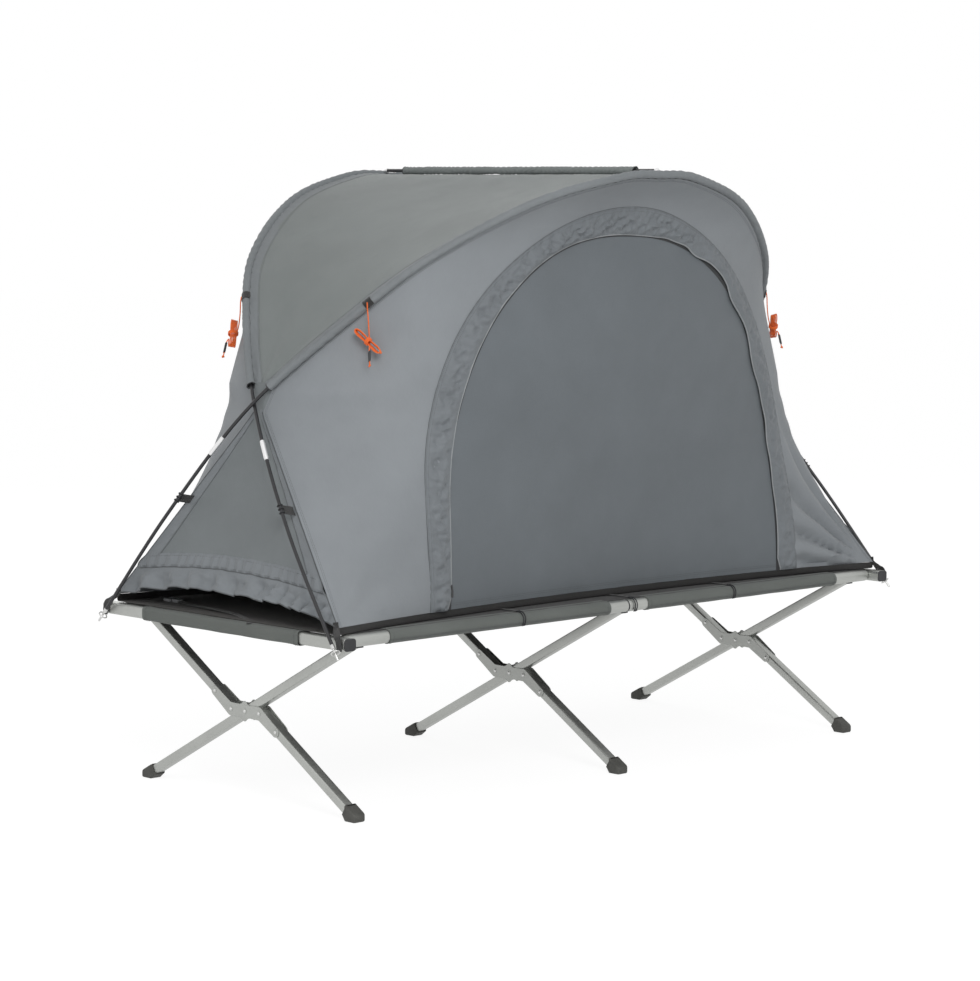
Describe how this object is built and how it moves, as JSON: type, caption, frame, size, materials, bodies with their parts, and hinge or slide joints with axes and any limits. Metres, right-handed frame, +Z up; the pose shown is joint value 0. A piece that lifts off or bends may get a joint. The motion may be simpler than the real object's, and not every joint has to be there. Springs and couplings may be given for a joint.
{
  "type": "camping tent",
  "caption": "One-person tent on a folding camp cot, with crossed arch poles, D-shaped doors and X-shaped folding leg sets.",
  "frame": {"origin": "on the floor under the middle of the cot", "axes": "+X along the cot, +Y across it to the back, +Z up"},
  "size_m": [1.9392, 1.0008, 1.4699],
  "materials": {
    "aluminium": "satin, grey-green anodised",
    "hub_steel": "stamped, grey coat",
    "black_plastic": "moulded black",
    "rubber": "black moulded feet",
    "sleeve_cloth": "dark grey canvas",
    "bed_cloth": "black coated canvas",
    "tent_cloth": "grey coated polyester",
    "door_cloth": "darker grey coated polyester",
    "fibreglass": "black glass-fibre rod",
    "guy_cord": "orange braided cord"
  },
  "bodies": {
    "front_frame": {"front_rail_left": "aluminium", "front_rail_right": "aluminium", "front_rail_dowel": "black_plastic", "bed_cloth": "bed_cloth", "left_end_bar": "aluminium", "left_bar_plug_front": "black_plastic", "left_bar_plug_back": "black_plastic", "left_bar_sleeve": "sleeve_cloth", "right_end_bar": "aluminium", "right_bar_plug_front": "black_plastic", "right_bar_plug_back": "black_plastic", "right_bar_sleeve": "sleeve_cloth"},
    "back_frame": {"back_rail_left": "aluminium", "back_rail_right": "aluminium", "back_rail_dowel": "black_plastic"},
    "straight_legs": {"straight_leg_left": "aluminium", "straight_leg_middle": "aluminium", "straight_leg_right": "aluminium", "back_foot_left": "rubber", "back_foot_middle": "rubber", "back_foot_right": "rubber", "front_saddle_left": "black_plastic", "front_saddle_middle": "black_plastic", "front_saddle_right": "black_plastic"},
    "split_legs": {"upper_leg_left": "aluminium", "lower_leg_left": "aluminium", "hub_left": "hub_steel", "front_foot_left": "rubber", "back_saddle_left": "black_plastic", "upper_leg_middle": "aluminium", "lower_leg_middle": "aluminium", "hub_middle": "hub_steel", "front_foot_middle": "rubber", "back_saddle_middle": "black_plastic", "upper_leg_right": "aluminium", "lower_leg_right": "aluminium", "hub_right": "hub_steel", "front_foot_right": "rubber", "back_saddle_right": "black_plastic"},
    "tent": {"front_arch_pole": "fibreglass", "back_arch_pole": "fibreglass", "roof_pole": "fibreglass", "front_arch_sleeve": "tent_cloth", "back_arch_sleeve": "tent_cloth", "roof_pole_sleeve": "tent_cloth", "roof_panel": "tent_cloth", "front_wall": "tent_cloth", "back_wall": "tent_cloth", "front_storm_flap": "tent_cloth", "back_storm_flap": "tent_cloth", "left_end_panel": "tent_cloth", "right_end_panel": "tent_cloth", "tent_floor": "bed_cloth", "guy_line_front_left": "guy_cord", "guy_line_front_right": "guy_cord", "guy_line_back_left": "guy_cord", "guy_line_back_right": "guy_cord"},
    "front_door": {"front_door": "door_cloth"},
    "back_door": {"back_door": "door_cloth"}
  },
  "joints": [
    {"name": "leg_fold", "type": "hinge", "parent": "front_frame", "child": "straight_legs", "pos_m": [0, -0.386, 0.4132], "axis": [-1, 0, 0], "range_deg": [0, 55], "deforming": ["bed_cloth"]},
    {"name": "leg_cross", "type": "hinge", "parent": "straight_legs", "child": "split_legs", "pos_m": [0, 0, 0.2067], "axis": [-1, 0, 0], "range_deg": [-110, 0]},
    {"name": "back_rail_level", "type": "hinge", "parent": "split_legs", "child": "back_frame", "pos_m": [0, 0.386, 0.4132], "axis": [-1, 0, 0], "range_deg": [0, 55]},
    {"name": "tent_lift", "type": "slide", "parent": "front_frame", "child": "tent", "axis": [0, 0, 1], "range_m": [0, 0.3]},
    {"name": "front_door_fold", "type": "hinge", "parent": "tent", "child": "front_door", "pos_m": [0, -0.35, 0.44767], "axis": [1, 0, 0], "range_deg": [0, 100]},
    {"name": "back_door_fold", "type": "hinge", "parent": "tent", "child": "back_door", "pos_m": [0, 0.35, 0.44767], "axis": [-1, 0, 0], "range_deg": [0, 100]}
  ],
  "couplings": [
    {"joint": "leg_cross", "follows": "leg_fold", "ratio": -2},
    {"joint": "back_rail_level", "follows": "leg_fold", "ratio": 1}
  ]
}
